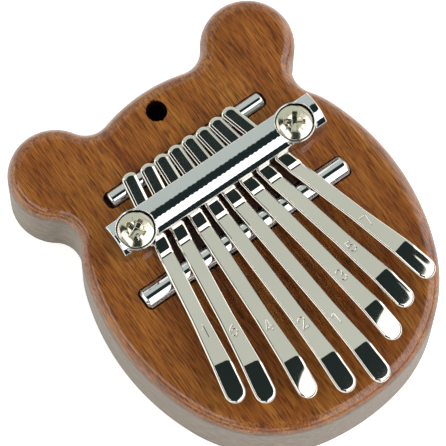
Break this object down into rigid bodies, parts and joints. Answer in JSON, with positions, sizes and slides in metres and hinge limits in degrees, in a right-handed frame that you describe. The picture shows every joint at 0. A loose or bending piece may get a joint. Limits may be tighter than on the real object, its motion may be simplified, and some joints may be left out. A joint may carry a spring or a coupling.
{
  "type": "kalimba",
  "caption": "Pocket thumb piano: a solid wooden body with a round face and ears, and fanned spring-steel tines clamped over chrome bridge rods by a screwed-down pressure bar.",
  "frame": {"origin": "centre of the flat back face of the wooden body", "axes": "+Y from the tine tips towards the ears, +X to the player's right, +Z out of the tined face"},
  "size_m": [0.075, 0.0932, 0.0296],
  "materials": {
    "body": "satin varnished reddish-brown hardwood",
    "rear_rod": "bright chrome-plated rod",
    "front_rod": "bright chrome-plated rod",
    "pressure_bar": "bright chrome-plated bar",
    "screw_left": "nickel-plated screw",
    "screw_right": "nickel-plated screw",
    "tine_high1_shank": "polished spring steel",
    "tine_high1_blade": "polished spring steel",
    "tine_6_shank": "polished spring steel",
    "tine_6_blade": "polished spring steel",
    "tine_4_shank": "polished spring steel",
    "tine_4_blade": "polished spring steel",
    "tine_2_shank": "polished spring steel",
    "tine_2_blade": "polished spring steel",
    "tine_1_shank": "polished spring steel",
    "tine_1_blade": "polished spring steel",
    "tine_3_shank": "polished spring steel",
    "tine_3_blade": "polished spring steel",
    "tine_5_shank": "polished spring steel",
    "tine_5_blade": "polished spring steel",
    "tine_7_shank": "polished spring steel",
    "tine_7_blade": "polished spring steel"
  },
  "bodies": {
    "instrument": {"body": "body", "rear_rod": "rear_rod", "front_rod": "front_rod", "pressure_bar": "pressure_bar", "screw_left": "screw_left", "screw_right": "screw_right"},
    "tine_high1_shank": {"tine_high1_shank": "tine_high1_shank"},
    "tine_high1_blade": {"tine_high1_blade": "tine_high1_blade"},
    "tine_6_shank": {"tine_6_shank": "tine_6_shank"},
    "tine_6_blade": {"tine_6_blade": "tine_6_blade"},
    "tine_4_shank": {"tine_4_shank": "tine_4_shank"},
    "tine_4_blade": {"tine_4_blade": "tine_4_blade"},
    "tine_2_shank": {"tine_2_shank": "tine_2_shank"},
    "tine_2_blade": {"tine_2_blade": "tine_2_blade"},
    "tine_1_shank": {"tine_1_shank": "tine_1_shank"},
    "tine_1_blade": {"tine_1_blade": "tine_1_blade"},
    "tine_3_shank": {"tine_3_shank": "tine_3_shank"},
    "tine_3_blade": {"tine_3_blade": "tine_3_blade"},
    "tine_5_shank": {"tine_5_shank": "tine_5_shank"},
    "tine_5_blade": {"tine_5_blade": "tine_5_blade"},
    "tine_7_shank": {"tine_7_shank": "tine_7_shank"},
    "tine_7_blade": {"tine_7_blade": "tine_7_blade"}
  },
  "joints": [
    {"name": "tine_high1_tuning", "type": "slide", "parent": "instrument", "child": "tine_high1_shank", "axis": [-0.1785, -0.9839, 0], "range_m": [-0.0012, 0.0012]},
    {"name": "tine_high1_pluck", "type": "hinge", "parent": "tine_high1_shank", "child": "tine_high1_blade", "pos_m": [-0.01847, 0.00005, 0.02372], "axis": [0.9839, -0.1785, 0], "range_deg": [-4, 5], "stiffness_Nm_per_rad": 0.4},
    {"name": "tine_6_tuning", "type": "slide", "parent": "instrument", "child": "tine_6_shank", "axis": [-0.1549, -0.9879, 0], "range_m": [-0.0012, 0.0012]},
    {"name": "tine_6_pluck", "type": "hinge", "parent": "tine_6_shank", "child": "tine_6_blade", "pos_m": [-0.01328, 0.00005, 0.02372], "axis": [0.9879, -0.1549, 0], "range_deg": [-4, 5], "stiffness_Nm_per_rad": 0.4},
    {"name": "tine_4_tuning", "type": "slide", "parent": "instrument", "child": "tine_4_shank", "axis": [-0.0753, -0.9972, 0], "range_m": [-0.0012, 0.0012]},
    {"name": "tine_4_pluck", "type": "hinge", "parent": "tine_4_shank", "child": "tine_4_blade", "pos_m": [-0.00759, 0.00005, 0.02372], "axis": [0.9972, -0.0753, 0], "range_deg": [-4, 5], "stiffness_Nm_per_rad": 0.4},
    {"name": "tine_2_tuning", "type": "slide", "parent": "instrument", "child": "tine_2_shank", "axis": [-0.0148, -0.9999, 0], "range_m": [-0.0012, 0.0012]},
    {"name": "tine_2_pluck", "type": "hinge", "parent": "tine_2_shank", "child": "tine_2_blade", "pos_m": [-0.00241, 0.00005, 0.02372], "axis": [0.9999, -0.0148, 0], "range_deg": [-4, 5], "stiffness_Nm_per_rad": 0.4},
    {"name": "tine_1_tuning", "type": "slide", "parent": "instrument", "child": "tine_1_shank", "axis": [0.04, -0.9992, 0], "range_m": [-0.0012, 0.0012]},
    {"name": "tine_1_pluck", "type": "hinge", "parent": "tine_1_shank", "child": "tine_1_blade", "pos_m": [0.00266, 0.00005, 0.02372], "axis": [0.9992, 0.04, 0], "range_deg": [-4, 5], "stiffness_Nm_per_rad": 0.4},
    {"name": "tine_3_tuning", "type": "slide", "parent": "instrument", "child": "tine_3_shank", "axis": [0.1123, -0.9937, 0], "range_m": [-0.0012, 0.0012]},
    {"name": "tine_3_pluck", "type": "hinge", "parent": "tine_3_shank", "child": "tine_3_blade", "pos_m": [0.0081, 0.00005, 0.02372], "axis": [0.9937, 0.1123, 0], "range_deg": [-4, 5], "stiffness_Nm_per_rad": 0.4},
    {"name": "tine_5_tuning", "type": "slide", "parent": "instrument", "child": "tine_5_shank", "axis": [0.168, -0.9858, 0], "range_m": [-0.0012, 0.0012]},
    {"name": "tine_5_pluck", "type": "hinge", "parent": "tine_5_shank", "child": "tine_5_blade", "pos_m": [0.0132, 0.00005, 0.02372], "axis": [0.9858, 0.168, 0], "range_deg": [-4, 5], "stiffness_Nm_per_rad": 0.4},
    {"name": "tine_7_tuning", "type": "slide", "parent": "instrument", "child": "tine_7_shank", "axis": [0.245, -0.9695, 0], "range_m": [-0.0012, 0.0012]},
    {"name": "tine_7_pluck", "type": "hinge", "parent": "tine_7_shank", "child": "tine_7_blade", "pos_m": [0.01898, 0.00005, 0.02372], "axis": [0.9695, 0.245, 0], "range_deg": [-4, 5], "stiffness_Nm_per_rad": 0.4}
  ]
}
